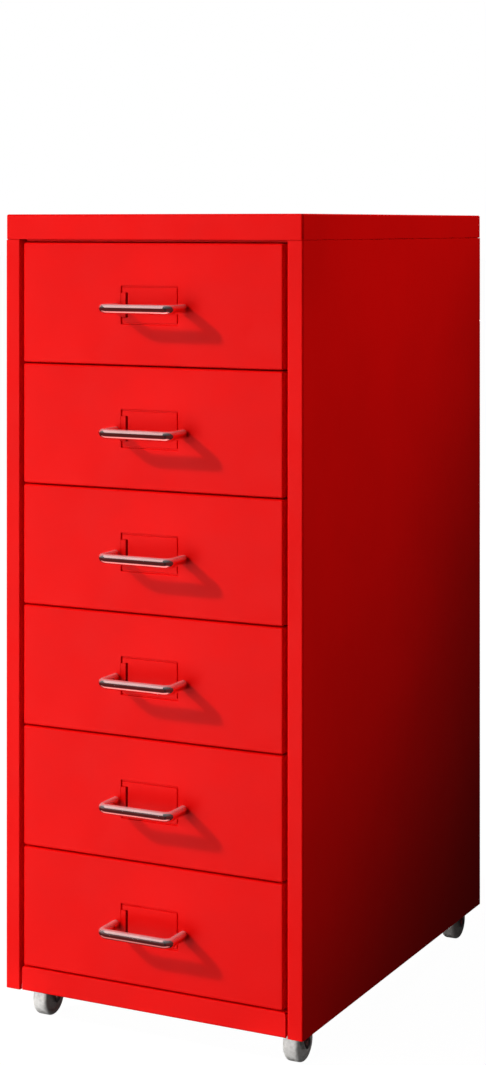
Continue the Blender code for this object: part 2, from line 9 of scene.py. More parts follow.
import bmesh
import bpy
from mathutils import Matrix, Vector
from mathutils.geometry import convex_hull_2d
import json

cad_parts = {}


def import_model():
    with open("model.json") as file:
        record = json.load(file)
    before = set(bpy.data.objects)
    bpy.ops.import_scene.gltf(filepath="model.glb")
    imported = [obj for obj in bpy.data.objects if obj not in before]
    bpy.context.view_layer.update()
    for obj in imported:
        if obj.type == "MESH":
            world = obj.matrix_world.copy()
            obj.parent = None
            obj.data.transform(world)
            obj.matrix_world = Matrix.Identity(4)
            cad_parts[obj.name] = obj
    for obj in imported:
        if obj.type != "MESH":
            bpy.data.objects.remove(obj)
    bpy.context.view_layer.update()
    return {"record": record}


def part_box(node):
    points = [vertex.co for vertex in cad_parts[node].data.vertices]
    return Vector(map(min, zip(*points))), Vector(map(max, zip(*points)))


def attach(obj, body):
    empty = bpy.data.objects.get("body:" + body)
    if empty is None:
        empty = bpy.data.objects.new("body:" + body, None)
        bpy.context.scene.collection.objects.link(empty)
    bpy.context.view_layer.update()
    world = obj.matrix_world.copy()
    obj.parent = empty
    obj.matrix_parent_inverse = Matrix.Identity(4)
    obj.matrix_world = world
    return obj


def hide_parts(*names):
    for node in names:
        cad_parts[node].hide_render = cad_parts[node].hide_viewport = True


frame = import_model()

# The camera, which stands where the photographer stood
LENS = 74.27
SENSOR = 36.0
SHIFT_Y = -0.2886
CAMERA_PLACE = (0.8851, -1.7700, 0.6808)
CAMERA_YAW = 26.746

# Sheet metal, as in the frame, and the air between neighbouring pieces
SHEET = 0.0008
BEND = 0.0010
FIT = 0.0003

# How finely folds are made: SUPPORT is from a fold to the loop that keeps its flat side flat
BEND_STEPS = 6
SUPPORT = 0.0004
EDGE_ROUND = 0.00018
LEAST_CORNER = 0.0003
SHARP_ANGLE = math.radians(35)

# How far a cutting shape stands past what it cuts
CUT_PAST = 0.002

# Sizes from the frame
PANEL_LOW, PANEL_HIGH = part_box("side_panel_right")
CAP_LOW, CAP_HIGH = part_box("top_cap")
FRONT_Y = PANEL_LOW.y
BACK_Y = PANEL_HIGH.y
HALF_WIDTH = PANEL_HIGH.x
OPENING_HALF = PANEL_LOW.x
CAP_SEAM = 0.0004
PANEL_TOP = CAP_LOW.z - CAP_SEAM
DRAWERS = range(1, 7)
CORNERS = ("front_left", "front_right", "rear_left", "rear_right")

# The stile at each front edge of the carcass, with its foot cut away for the swivelling wheel
STILE_RETURN = 0.012
RELIEF_START = 0.0035
RELIEF_HEIGHT = 0.0045

# The step in the side panel that closes the seam under the cap, down from the panel's top
STEP_FOOT = 0.0095
STEP_BEND = 0.0009
STEP_SHEET = 0.0006

# Behind the stile's top, the shelf and lip run from one to the other, out from the middle
SHELF_INNER = 0.1275
SHELF_OUTER = 0.1386

# Pressed label holder and its card slot
LABEL_HALF = (0.0270, 0.0160)
LABEL_DEPTH = 0.0016
LABEL_DROP = 0.0008
LABEL_GROOVE = 0.0014
LABEL_PANEL_DEPTH = 0.0004
LABEL_TAB_DEPTH = 0.00015
LABEL_SLOT_LEFT = -0.0226
LABEL_SLOT_RIGHT = -0.0208
LABEL_SLOT_TALL = 0.01025

# Bow handle: half its screw spacing, the rod's radius and the bend's radius
HANDLE_HALF = 0.032
HANDLE_ROD = 0.0040
HANDLE_CORNER = 0.0060

# Castors: bores for the axle and for the swivel rivet, and the thickness of the fork's crown
AXLE_BORE = 0.0023
RIVET_BORE = 0.0043
FORK_SHEET = 0.0015

# Paint, and the colours of the lights that only shine in the metal
RED = (0.86, 0.0022, 0.0016)
PINK = (1.0, 0.52, 0.49)
ROSE = (1.0, 0.26, 0.24)
DEEP_RED = (1.0, 0.05, 0.04)
WHITE = (1, 1, 1, 1)

AXES = {
    "X": lambda a, b, c: Vector((c, a, b)),
    "Y": lambda a, b, c: Vector((a, c, b)),
    "Z": lambda a, b, c: Vector((a, b, c)),
}
BODY_OF = {
    node: body
    for body, nodes in frame["record"]["behaviour"]["bodies"].items()
    for node in nodes
}


# ---------------------------------------------------------------- mesh helpers


def new_object(name, builder):
    """An object from a bmesh, smooth but for its sharp edges, with its faces out."""
    bmesh.ops.recalc_face_normals(builder, faces=builder.faces)
    mesh = bpy.data.meshes.new(name)
    builder.to_mesh(mesh)
    builder.free()
    mesh.shade_smooth()
    mesh.set_sharp_from_angle(angle=SHARP_ANGLE)
    made = bpy.data.objects.new(name, mesh)
    bpy.context.scene.collection.objects.link(made)
    return made


def apply_modifiers(item):
    """Gives an object its evaluated mesh and drops its modifiers."""
    bpy.context.view_layer.update()
    graph = bpy.context.evaluated_depsgraph_get()
    mesh = bpy.data.meshes.new_from_object(item.evaluated_get(graph))
    item.modifiers.clear()
    item.data = mesh
    return item


def freeze(item):
    """Applies an object's modifiers and shades it smooth but for its sharp edges."""
    apply_modifiers(item)
    item.data.shade_smooth()
    item.data.set_sharp_from_angle(angle=SHARP_ANGLE)
    return item


def combine(item, tool, operation):
    """Joins a second solid to an object, or cuts it away, and removes the second solid."""
    change = item.modifiers.new(operation.lower(), "BOOLEAN")
    change.operation = operation
    change.solver = "EXACT"
    change.object = tool
    freeze(item)
    bpy.data.objects.remove(tool)
    return item


def joined(name, items):
    """One object of several, with their places kept."""
    builder = bmesh.new()
    for item in items:
        mesh = item.data.copy()
        mesh.transform(item.matrix_basis)
        builder.from_mesh(mesh)
        bpy.data.meshes.remove(mesh)
        bpy.data.objects.remove(item)
    return new_object(name, builder)


def soften(item, width=EDGE_ROUND, segments=2, angle=50):
    """Rounds an object's sharp edges a little, as paint or plating does."""
    bevel = item.modifiers.new("edges", "BEVEL")
    bevel.width = width
    bevel.segments = segments
    bevel.limit_method = "ANGLE"
    bevel.angle_limit = math.radians(angle)
    weighted = item.modifiers.new("flat_faces", "WEIGHTED_NORMAL")
    weighted.keep_sharp = True
    item.data.set_sharp_from_angle(angle=math.pi)
    return apply_modifiers(item)


def bent_strip(corners, thickness=SHEET, bend=BEND):
    """Outline of a strip of sheet folded along a line of corners, with round bends."""
    points = [Vector(corner) for corner in corners]
    legs = [(b - a).normalized() for a, b in zip(points, points[1:])]
    normals = [Vector((-leg.y, leg.x)) for leg in legs]
    middle = [(points[0], normals[0])]
    for corner, leg, normal, next_leg in zip(points[1:], legs, normals, legs[1:]):
        turn = math.atan2(leg.x * next_leg.y - leg.y * next_leg.x, leg.dot(next_leg))
        side = math.copysign(bend, turn)
        reach = bend * math.tan(abs(turn) / 2)
        centre = corner - leg * reach + normal * side
        middle.append((corner - leg * (reach + SUPPORT), normal))
        for step in range(BEND_STEPS + 1):
            turned = Matrix.Rotation(turn * step / BEND_STEPS, 2) @ normal
            middle.append((centre - turned * side, turned))
        next_normal = Vector((-next_leg.y, next_leg.x))
        middle.append((corner + next_leg * (reach + SUPPORT), next_normal))
    middle.append((points[-1], normals[-1]))
    left = [point + normal * thickness / 2 for point, normal in middle]
    right = [point - normal * thickness / 2 for point, normal in middle]
    return left + right[::-1]


def extruded(name, outline, axis, low, high):
    """A solid of one outline drawn square to an axis, from low to high along it."""
    builder = bmesh.new()
    place = AXES[axis]
    base = builder.faces.new([builder.verts.new(place(a, b, low)) for a, b in outline])
    grown = bmesh.ops.extrude_face_region(builder, geom=[base])["geom"]
    moved = [part for part in grown if isinstance(part, bmesh.types.BMVert)]
    bmesh.ops.translate(builder, verts=moved, vec=place(0, 0, high - low))
    return new_object(name, builder)


def rounded_loop(half_width, half_height, radius, steps=5):
    """Points round a rectangle with round corners, anticlockwise."""
    points = []
    signs = ((1, 1), (-1, 1), (-1, -1), (1, -1))
    for quarter, (across, up) in enumerate(signs):
        centre = Vector((across * (half_width - radius), up * (half_height - radius)))
        for step in range(steps + 1):
            angle = math.pi / 2 * (quarter + step / steps)
            points.append(centre + Vector((math.cos(angle), math.sin(angle))) * radius)
    return points


def lofted(loops, closed=False, filled=True):
    """A skin through loops of points. Its end is filled, left open or joined to its start."""
    builder = bmesh.new()
    rings = [[builder.verts.new(point) for point in loop] for loop in loops]
    pairs = list(zip(rings, rings[1:]))
    if closed:
        pairs.append((rings[-1], rings[0]))
    elif filled:
        builder.faces.new(rings[-1])
    count = len(rings[0])
    for lower, upper in pairs:
        for index in range(count):
            after = (index + 1) % count
            builder.faces.new((lower[index], lower[after], upper[after], upper[index]))
    return builder


def thickened(item, thickness=SHEET):
    """Gives a skin the sheet's thickness, inwards."""
    thicken = item.modifiers.new("sheet", "SOLIDIFY")
    thicken.thickness = thickness
    thicken.offset = -1
    thicken.use_even_offset = True
    return freeze(item)


def turned(name, profile, axis, steps=40, bored=False):
    """A turned solid from (radius, height) points, bored through if its profile is a ring."""
    place = AXES[axis]
    loops = []
    for radius, height in profile:
        angles = [2 * math.pi * step / steps for step in range(steps)]
        loops.append(
            [place(radius * math.cos(a), radius * math.sin(a), height) for a in angles]
        )
    builder = lofted(loops, closed=bored)
    if not bored:
        builder.verts.ensure_lookup_table()
        builder.faces.new([builder.verts[index] for index in range(steps)])
    return new_object(name, builder)


def block(low, high):
    """A plain box from its lowest corner to its highest."""
    outline = [(low[0], low[1]), (high[0], low[1]), (high[0], high[1]), (low[0], high[1])]
    return extruded("block", outline, "Z", low[2], high[2])


def arc(centre, radius, start, end, steps):
    """Points along part of a circle, from one angle in degrees to another."""
    angles = [math.radians(start + (end - start) * step / steps) for step in range(steps + 1)]
    return [
        (centre[0] + radius * math.cos(a), centre[1] + radius * math.sin(a))
        for a in angles
    ]


def copy_at(first, name, place):
    """A copy of a pattern, moved to its place."""
    made = bpy.data.objects.new(name, first.data.copy())
    bpy.context.scene.collection.objects.link(made)
    made.location = place
    return made


# ------------------------------------------------------------------- materials


class Recipe:
    """A Principled material and the few node calls that build it up."""

    def __init__(self, name):
        self.material = bpy.data.materials.new(name)
        self.material.use_nodes = True
        self.tree = self.material.node_tree
        self.shader = self.tree.nodes["Principled BSDF"]
        self.place = self.tree.nodes.new("ShaderNodeTexCoord").outputs["Object"]

    def set(self, **values):
        """Sets constant values on the shader's own sockets."""
        for name, value in values.items():
            self.shader.inputs[name.replace("_", " ")].default_value = value

    def noise(self, scale, detail=2.0, stretch=None):
        """Soft noise in the object's own space, stretched along its axes if asked."""
        source = self.place
        if stretch:
            mapping = self.tree.nodes.new("ShaderNodeMapping")
            mapping.inputs["Scale"].default_value = stretch
            self.tree.links.new(source, mapping.inputs["Vector"])
            source = mapping.outputs["Vector"]
        node = self.tree.nodes.new("ShaderNodeTexNoise")
        node.inputs["Scale"].default_value = scale
        node.inputs["Detail"].default_value = detail
        self.tree.links.new(source, node.inputs["Vector"])
        return node.outputs["Fac"]

    def cells(self, scale):
        """A grey level for each cell of a crystal pattern."""
        node = self.tree.nodes.new("ShaderNodeTexVoronoi")
        node.inputs["Scale"].default_value = scale
        self.tree.links.new(self.place, node.inputs["Vector"])
        split = self.tree.nodes.new("ShaderNodeSeparateColor")
        self.tree.links.new(node.outputs["Color"], split.inputs["Color"])
        return split.outputs["Red"]

    def upward(self):
        """How far a face looks up, from -1 to 1."""
        geometry = self.tree.nodes.new("ShaderNodeNewGeometry")
        split = self.tree.nodes.new("ShaderNodeSeparateXYZ")
        self.tree.links.new(geometry.outputs["Normal"], split.inputs["Vector"])
        return split.outputs["Z"]

    def ramp(self, factor, stops):
        """A colour between two (position, colour) stops."""
        node = self.tree.nodes.new("ShaderNodeValToRGB")
        first, last = node.color_ramp.elements
        for element, (position, color) in zip((first, last), stops):
            element.position = position
            element.color = (*color, 1.0)
        self.tree.links.new(factor, node.inputs["Fac"])
        return node.outputs["Color"]

    def between(self, factor, low, high, start=0.3, end=0.7):
        """A value from low to high as a factor goes from start to end."""
        node = self.tree.nodes.new("ShaderNodeMapRange")
        node.inputs["From Min"].default_value = start
        node.inputs["From Max"].default_value = end
        node.inputs["To Min"].default_value = low
        node.inputs["To Max"].default_value = high
        self.tree.links.new(factor, node.inputs["Value"])
        return node.outputs["Result"]

    def feed(self, socket, output):
        self.tree.links.new(output, self.shader.inputs[socket])

    def bump(self, heights, distances, strength):
        """Bumps laid over each other, each with its own height factor and distance."""
        normal = None
        for height, reach in zip(heights, distances):
            node = self.tree.nodes.new("ShaderNodeBump")
            node.inputs["Strength"].default_value = strength
            node.inputs["Distance"].default_value = reach
            self.tree.links.new(height, node.inputs["Height"])
            if normal:
                self.tree.links.new(normal, node.inputs["Normal"])
            normal = node.outputs["Normal"]
        self.feed("Normal", normal)


def powder_coat(name, roughness):
    """Satin powder coat: a fine orange peel over slow waves of colour and gloss."""
    recipe = Recipe(name)
    deep = tuple(channel * 0.93 for channel in RED)
    slow = recipe.noise(9.0, 3.0)
    recipe.feed("Base Color", recipe.ramp(slow, ((0.35, deep), (0.65, RED))))
    gloss = recipe.noise(40.0, 4.0)
    recipe.feed("Roughness", recipe.between(gloss, roughness - 0.04, roughness + 0.05))
    peel = recipe.noise(950.0, 1.5)
    swell = recipe.noise(210.0, 1.0)
    recipe.bump((peel, swell), (0.000035, 0.00005), 0.35)
    recipe.set(Specular_IOR_Level=0.08)
    return recipe.material


def chrome_plate():
    """Bright plating with faint wiping marks. Faces that look up are made less metallic, a
    painted highlight: the top of the rod shows the pale plate colour as a light matte band.
    """
    recipe = Recipe("chrome_plate")
    haze = recipe.noise(120.0, 5.0, (1.0, 3.0, 3.0))
    recipe.feed("Roughness", recipe.between(haze, 0.05, 0.13))
    tone = recipe.noise(60.0, 2.0)
    stops = ((0.3, (0.80, 0.80, 0.82)), (0.7, (0.88, 0.88, 0.89)))
    recipe.feed("Base Color", recipe.ramp(tone, stops))
    fine = recipe.noise(1500.0, 1.0)
    recipe.bump((fine,), (0.000004,), 0.2)
    # painted highlight: less metal where a face looks up, so the rod's top shows a pale matte
    # band
    recipe.feed("Metallic", recipe.between(recipe.upward(), 1.0, 0.62, 0.2, 0.9))
    return recipe.material


def zinc_plate():
    """Dull zinc with a faint crystal pattern and darker streaks."""
    recipe = Recipe("zinc_plate")
    crystals = recipe.cells(420.0)
    stops = ((0.0, (0.47, 0.47, 0.48)), (1.0, (0.66, 0.66, 0.67)))
    recipe.feed("Base Color", recipe.ramp(crystals, stops))
    streaks = recipe.noise(260.0, 4.0, (1.0, 1.0, 0.25))
    recipe.feed("Roughness", recipe.between(streaks, 0.26, 0.46))
    recipe.bump((streaks,), (0.00002,), 0.3)
    recipe.set(Metallic=1.0)
    return recipe.material


def wheel_plastic():
    """Light grey moulded plastic, scuffed a little by use."""
    recipe = Recipe("wheel_plastic")
    scuffs = recipe.noise(330.0, 5.0)
    stops = ((0.35, (0.62, 0.605, 0.58)), (0.6, (0.80, 0.785, 0.76)))
    recipe.feed("Base Color", recipe.ramp(scuffs, stops))
    recipe.feed("Roughness", recipe.between(scuffs, 0.36, 0.55))
    recipe.bump((recipe.noise(800.0, 2.0),), (0.00004,), 0.3)
    recipe.set(Specular_IOR_Level=0.45)
    return recipe.material


def screw_steel():
    """Bright screw heads with turning marks."""
    recipe = Recipe("screw_steel")
    marks = recipe.noise(900.0, 3.0, (1.0, 0.2, 1.0))
    recipe.feed("Roughness", recipe.between(marks, 0.22, 0.40))
    stops = ((0.3, (0.60, 0.60, 0.61)), (0.7, (0.72, 0.72, 0.73)))
    recipe.feed("Base Color", recipe.ramp(marks, stops))
    recipe.set(Metallic=1.0)
    return recipe.material


# --------------------------------------------------------------- putting pieces


def stand_for(piece, node, finish):
    """A finished piece takes its material and stands for a CAD node, on the node's body."""
    piece.data.materials.clear()
    piece.data.materials.append(finish)
    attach(piece, BODY_OF[node])
    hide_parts(node)
    return piece


def add_trim(piece, body, finish):
    """A small extra piece, such as a group of screws, on a body."""
    piece.data.materials.clear()
    piece.data.materials.append(finish)
    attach(piece, body)
    return piece


# --------------------------------------------------------------------- carcass


def side_panel(node, side, paint):
    """A side wall folded into a stile at the front and a flange at the back.

    Its top steps in behind the seam under the cap. A shelf and a lip do the same for the stile.
    """
    low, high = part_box(node)
    wall = side * (HALF_WIDTH - SHEET / 2)
    edge = side * (OPENING_HALF + SHEET / 2)
    front = FRONT_Y + SHEET / 2
    back = BACK_Y - SHEET / 2
    corners = [
        (edge, FRONT_Y + STILE_RETURN),
        (edge, front),
        (wall, front),
        (wall, back),
        (edge - side * SHEET / 2, back),
    ]
    panel = extruded("panel", bent_strip(corners), "Z", low.z, PANEL_TOP)
    ends = sorted((edge - side * SHEET, edge + side * SHEET))
    relief = block(
        (ends[0], FRONT_Y + RELIEF_START, low.z - CUT_PAST),
        (ends[1], FRONT_Y + STILE_RETURN + CUT_PAST, low.z + RELIEF_HEIGHT),
    )
    combine(panel, relief, "DIFFERENCE")
    set_back = 0.0010
    inner = wall - side * set_back
    tongue = [
        (wall, PANEL_TOP - STEP_FOOT),
        (wall, PANEL_TOP - STEP_BEND),
        (inner, PANEL_TOP),
        (inner, high.z),
    ]
    outline = bent_strip(tongue, STEP_SHEET, 0.0003)
    step = extruded("tongue", outline, "Y", FRONT_Y + 0.0013, BACK_Y - 0.016)
    ends = sorted((side * SHELF_INNER, side * SHELF_OUTER))
    behind = FRONT_Y + SHEET + FIT
    shelf = block(
        (ends[0], front, PANEL_TOP - STEP_FOOT),
        (ends[1], behind + STEP_SHEET, PANEL_TOP - STEP_BEND),
    )
    lip = block(
        (ends[0], behind, PANEL_TOP - 0.0020),
        (ends[1], behind + STEP_SHEET, CAP_LOW.z + 0.0002),
    )
    made = soften(joined(f"{node}_form", [panel, step, shelf, lip]))
    return stand_for(made, node, paint)


def pressed_loops(half_width, half_height, corner, rim, face, fold, axis, centre=(0, 0)):
    """Loops of a pressed pan, from its open rim up its walls and over the fold to its face."""
    direction = math.copysign(1, face - rim)
    place = AXES[axis]

    def loop(shrink, level, radius):
        points = rounded_loop(half_width - shrink, half_height - shrink, radius)
        return [place(x + centre[0], y + centre[1], level) for x, y in points]

    loops = [loop(0, rim, corner)]
    loops.append(loop(0, face - direction * (fold + SUPPORT), corner))
    for step in range(BEND_STEPS + 1):
        angle = math.pi / 2 * step / BEND_STEPS
        shrink = fold * (1 - math.cos(angle))
        level = face - direction * fold * (1 - math.sin(angle))
        loops.append(loop(shrink, level, max(corner - shrink, LEAST_CORNER)))
    loops.append(loop(fold + SUPPORT, face, max(corner - fold, LEAST_CORNER)))
    return loops


def top_cap(paint):
    """The pressed lid, with round folds and an open skirt."""
    half_width = (CAP_HIGH.x - CAP_LOW.x) / 2
    half_depth = (CAP_HIGH.y - CAP_LOW.y) / 2
    centre = (0, (CAP_HIGH.y + CAP_LOW.y) / 2)
    corner = 0.0022
    fold = 0.0014
    loops = pressed_loops(
        half_width, half_depth, corner, CAP_LOW.z, CAP_HIGH.z, fold, "Z", centre
    )
    made = thickened(new_object("top_cap_form", lofted(loops)))
    soften(made, width=0.00036, segments=3)
    return stand_for(made, "top_cap", paint)


def top_rail(paint):
    """The channel behind the cap's front edge, with a lip down to the highest drawer."""
    low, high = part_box("top_rail")
    face = low.y + SHEET / 2
    bottom = CAP_LOW.z + 0.0005 + SHEET / 2
    top = high.z - SHEET / 2
    lip = FRONT_Y + 0.009
    corners = [(lip, low.z), (lip, bottom), (face, bottom), (face, top), (high.y, top)]
    made = extruded("top_rail_form", bent_strip(corners), "X", low.x, high.x)
    clear = OPENING_HALF - 0.0015
    for side in (-1, 1):
        ends = sorted((side * clear, side * HALF_WIDTH))
        notch = block(
            (ends[0], face + SHEET, low.z - CUT_PAST), (ends[1], high.y, CAP_LOW.z + FIT)
        )
        combine(made, notch, "DIFFERENCE")
    return stand_for(soften(made), "top_rail", paint)


def back_panel(paint):
    """The back sheet, stiffened by two long pressed ribs."""
    low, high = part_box("back_panel")
    half = high.x - SHEET / 2
    back = high.y - SHEET / 2
    rib_place = 0.062
    rib_half = 0.010
    rib_depth = 0.0024
    slope = rib_depth * 1.4
    sheet = [(-half, low.y), (-half, back)]
    for middle in (-rib_place, rib_place):
        sheet += [
            (middle - rib_half, back),
            (middle - rib_half + slope, back - rib_depth),
            (middle + rib_half - slope, back - rib_depth),
            (middle + rib_half, back),
        ]
    sheet += [(half, back), (half, low.y)]
    made = extruded("back_panel_form", bent_strip(sheet), "Z", low.z, high.z)
    return stand_for(soften(made), "back_panel", paint)


def base_pan(paint):
    """The floor sheet with its low flange and the castors' holes.

    Its front is narrowed to a tongue that passes between the stiles.
    """
    low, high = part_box("base_pan")
    shoulder = FRONT_Y + 0.0135
    tongue = OPENING_HALF - 0.0012
    outline = [
        (-tongue, low.y),
        (tongue, low.y),
        (tongue, shoulder),
        (high.x, shoulder),
        (high.x, high.y),
        (low.x, high.y),
        (low.x, shoulder),
        (-tongue, shoulder),
    ]
    made = extruded("base_pan_form", outline, "Z", low.z, high.z)
    builder = bmesh.new()
    builder.from_mesh(made.data)
    lid = [face for face in builder.faces if face.normal.z > 0.9]
    bmesh.ops.delete(builder, geom=lid, context="FACES_ONLY")
    folds = [edge for edge in builder.edges if not edge.is_boundary]
    bmesh.ops.bevel(
        builder, geom=folds, offset=0.0012, segments=4, profile=0.5, affect="EDGES"
    )
    builder.to_mesh(made.data)
    builder.free()
    thickened(made)
    for corner in CORNERS:
        mount_low, mount_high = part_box(f"castor_mount_{corner}")
        middle = (mount_low + mount_high) / 2
        profile = [(RIVET_BORE, low.z - CUT_PAST), (RIVET_BORE, low.z + 0.003)]
        hole = turned("hole", profile, "Z", steps=24)
        hole.location = (middle.x, middle.y, 0)
        combine(made, hole, "DIFFERENCE")
    return stand_for(made, "base_pan", paint)


def plinth_rail(paint):
    """The rail under the drawers: rounded top corners, a top return and a hemmed foot.

    A small fold at each end closes the gap beside the stile.
    """
    low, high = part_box("plinth_rail")
    face = low.y + SHEET / 2
    hem = face + SHEET + 0.0008
    corners = [
        (hem, low.z + 0.006),
        (hem, low.z + SHEET / 2),
        (face, low.z + SHEET / 2),
        (face, high.z - SHEET / 2),
        (high.y, high.z - SHEET / 2),
    ]
    made = extruded("rail", bent_strip(corners, bend=0.0007), "X", low.x, high.x)
    fold_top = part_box("base_pan")[0].z - FIT
    fold_back = low.y + 0.0045
    folds = []
    for side in (-1, 1):
        ends = sorted((side * (high.x - SHEET), side * (high.x - 0.00005)))
        folds.append(block((ends[0], face, low.z + 0.0007), (ends[1], fold_back, fold_top)))
    corner = 0.0022
    past = 0.001
    for side in (-1, 1):
        end = high.x * side
        centre = (end - side * corner, high.z - corner)
        curve = arc(centre, corner, 90 - side * 90, 90, 8)
        outline = [(end + side * past, curve[0][1])] + curve
        outline += [(curve[-1][0], high.z + past), (end + side * past, high.z + past)]
        cut = extruded("corner", outline, "Y", low.y - past, low.y + 0.0035)
        combine(made, cut, "DIFFERENCE")
    made = soften(joined("plinth_rail_form", [made] + folds))
    return stand_for(made, "plinth_rail", paint)


def rivet_heads(name, places, axis, radius, height):
    """Low domed rivet heads at (a, b, level, direction) places square to an axis."""
    heads = []
    for a, b, level, direction in places:
        profile = [(radius, level)]
        profile += [
            (radius * math.cos(angle), level + direction * height * math.sin(angle))
            for angle in (math.radians(step * 15) for step in range(1, 6))
        ]
        head = turned("rivet", profile, axis, steps=20)
        head.location = AXES[axis](a, b, 0)
        heads.append(head)
    return joined(name, heads)


def runner(node, side, paint):
    """A folded channel with a stop tab at its front end, and its two rivets."""
    low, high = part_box(node)
    thickness = 0.0010
    tab_rise = 0.0001
    rivet_inset = 0.03
    web = side * (max(abs(low.x), abs(high.x)) - thickness / 2)
    foot = low.z + thickness / 2
    head = high.z - tab_rise - thickness / 2
    foot_end = side * min(abs(low.x), abs(high.x))
    head_end = side * 0.1180
    corners = [(foot_end, foot), (web, foot), (web, head), (head_end, head)]
    outline = bent_strip(corners, thickness)
    channel = extruded("channel", outline, "Y", low.y + 0.0001, high.y)
    ends = sorted((head_end, side * 0.1230))
    tab = block(
        (ends[0], low.y, head - 0.0045),
        (ends[1], low.y + 0.0011, head + tab_rise),
    )
    middle = (foot + head) / 2
    level = web - side * thickness / 2
    places = [(y, middle, level, -side) for y in (low.y + rivet_inset, high.y - rivet_inset)]
    rivets = rivet_heads("rivets", places, "X", radius=0.0024, height=0.0011)
    made = soften(joined(f"{node}_form", [channel, tab, rivets]))
    return stand_for(made, node, paint)


# --------------------------------------------------------------------- drawers


def front_pattern():
    """One drawer front about its own middle: a pressed pan with a sunk label holder."""
    low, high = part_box("drawer_front_1")
    half_width = (high.x - low.x) / 2
    half_height = (high.z - low.z) / 2
    corner = 0.0018
    fold = 0.0015
    loops = pressed_loops(half_width, half_height, corner, high.y, low.y, fold, "Y")
    turn = 0.0004
    rim = ((turn + SUPPORT, 0.0), (turn, 0.0), (0.00012, 0.00008), (0.0, 0.0003))
    for grow, sink in rim + ((0.0, LABEL_DEPTH + 0.0002),):
        points = rounded_loop(LABEL_HALF[0] + grow, LABEL_HALF[1] + grow, 0.0010 + grow)
        loops.append([Vector((x, low.y + sink, z - LABEL_DROP)) for x, z in points])
    pressed = new_object("pressed", lofted(loops, filled=False))
    return joined("front_pattern", [thickened(pressed)] + label_holder(low.y))


def label_holder(face):
    """The groove's floor, the sunk panel, and the tab that a card tucks in behind."""
    wide, tall = LABEL_HALF
    floor = face + LABEL_DEPTH
    low, high = -LABEL_DROP - tall, -LABEL_DROP + tall
    slot_low, slot_high = -LABEL_DROP - LABEL_SLOT_TALL, -LABEL_DROP + LABEL_SLOT_TALL
    lap = 0.0004
    dish = block((-wide - lap, floor, low - lap), (wide + lap, floor + SHEET, high + lap))
    slot = block(
        (LABEL_SLOT_LEFT, face, slot_low), (LABEL_SLOT_RIGHT, face + 0.004, slot_high)
    )
    combine(dish, slot, "DIFFERENCE")
    edge = LABEL_GROOVE
    outline = [
        (edge - wide, low + edge),
        (wide - edge, low + edge),
        (wide - edge, high - edge),
        (edge - wide, high - edge),
        (edge - wide, slot_high + FIT),
        (LABEL_SLOT_RIGHT, slot_high + FIT),
        (LABEL_SLOT_RIGHT, slot_low - FIT),
        (edge - wide, slot_low - FIT),
    ]
    panel = extruded("panel", outline, "Y", face + LABEL_PANEL_DEPTH, floor + SHEET / 2)
    tab = block(
        (-wide - 0.0002, face + LABEL_TAB_DEPTH, slot_low),
        (LABEL_SLOT_LEFT, floor + SHEET / 2, slot_high),
    )
    soften(panel, width=0.00025, segments=3)
    soften(tab, width=0.00020, segments=3)
    return [dish, panel, tab]


def tray_pattern():
    """One drawer tray at drawer 1: floor, sides and running flanges, with stop tabs."""
    low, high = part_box("drawer_tray_1")
    fold = 0.0035
    top = high.z - fold
    bottom = low.z + SHEET / 2
    wall = 0.1125
    edge = high.x - SHEET / 2
    right = [(edge, top - fold), (edge, top), (wall, top), (wall, bottom)]
    left = [(-x, z) for x, z in reversed(right)]
    made = extruded("tray_pattern", bent_strip(right + left), "Y", low.y, high.y)
    flange_start = FRONT_Y + 0.015
    past = 0.01
    tab_inner, tab_outer = 0.1150, 0.1215
    tab_front = FRONT_Y + 0.3159
    for side in (-1, 1):
        ends = sorted((side * (wall + SHEET), side * HALF_WIDTH))
        notch = block((ends[0], FRONT_Y - past, top - past), (ends[1], flange_start, top + past))
        combine(made, notch, "DIFFERENCE")
        ends = sorted((side * tab_inner, side * tab_outer))
        tab = block((ends[0], tab_front, top), (ends[1], tab_front + 0.001, high.z))
        combine(made, tab, "UNION")
    return soften(made)


def back_pattern():
    """One drawer back at drawer 1, with a fold along its top."""
    low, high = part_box("drawer_back_1")
    wall = low.y + SHEET / 2
    top = high.z - SHEET / 2
    corners = [(wall, low.z), (wall, top), (high.y, top)]
    made = extruded("back_pattern", bent_strip(corners), "X", low.x, high.x)
    return soften(made)


def tube(name, route, radius, sides=28):
    """A round bar along a route in a level plane, with flat ends."""
    points = [Vector(point) for point in route]
    up = Vector((0, 0, 1))
    angles = [2 * math.pi * side / sides for side in range(sides)]
    loops = []
    for index, point in enumerate(points):
        before = points[max(index - 1, 0)]
        after = points[min(index + 1, len(points) - 1)]
        across = (after - before).normalized().cross(up)
        loops.append(
            [
                point + across * radius * math.cos(a) + up * radius * math.sin(a)
                for a in angles
            ]
        )
    builder = lofted(loops)
    builder.verts.ensure_lookup_table()
    builder.faces.new([builder.verts[index] for index in range(sides)])
    return new_object(name, builder)


def handle_pattern():
    """The bow handle of drawer 1, of round rod."""
    low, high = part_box("drawer_handle_1")
    level = (low.z + high.z) / 2
    bar = low.y + HANDLE_ROD
    foot = FRONT_Y - 0.0001
    corner = HANDLE_CORNER
    centre = (-HANDLE_HALF + corner, bar + corner)
    left = arc(centre, corner, 180, 270, 12)
    route = [(-HANDLE_HALF, foot), (-HANDLE_HALF, bar + corner + SUPPORT)] + left
    route += [(-HANDLE_HALF + corner + SUPPORT, bar)]
    route += [(-x, y) for x, y in reversed(route)]
    return tube("handle_pattern", [(x, y, level) for x, y in route], HANDLE_ROD)


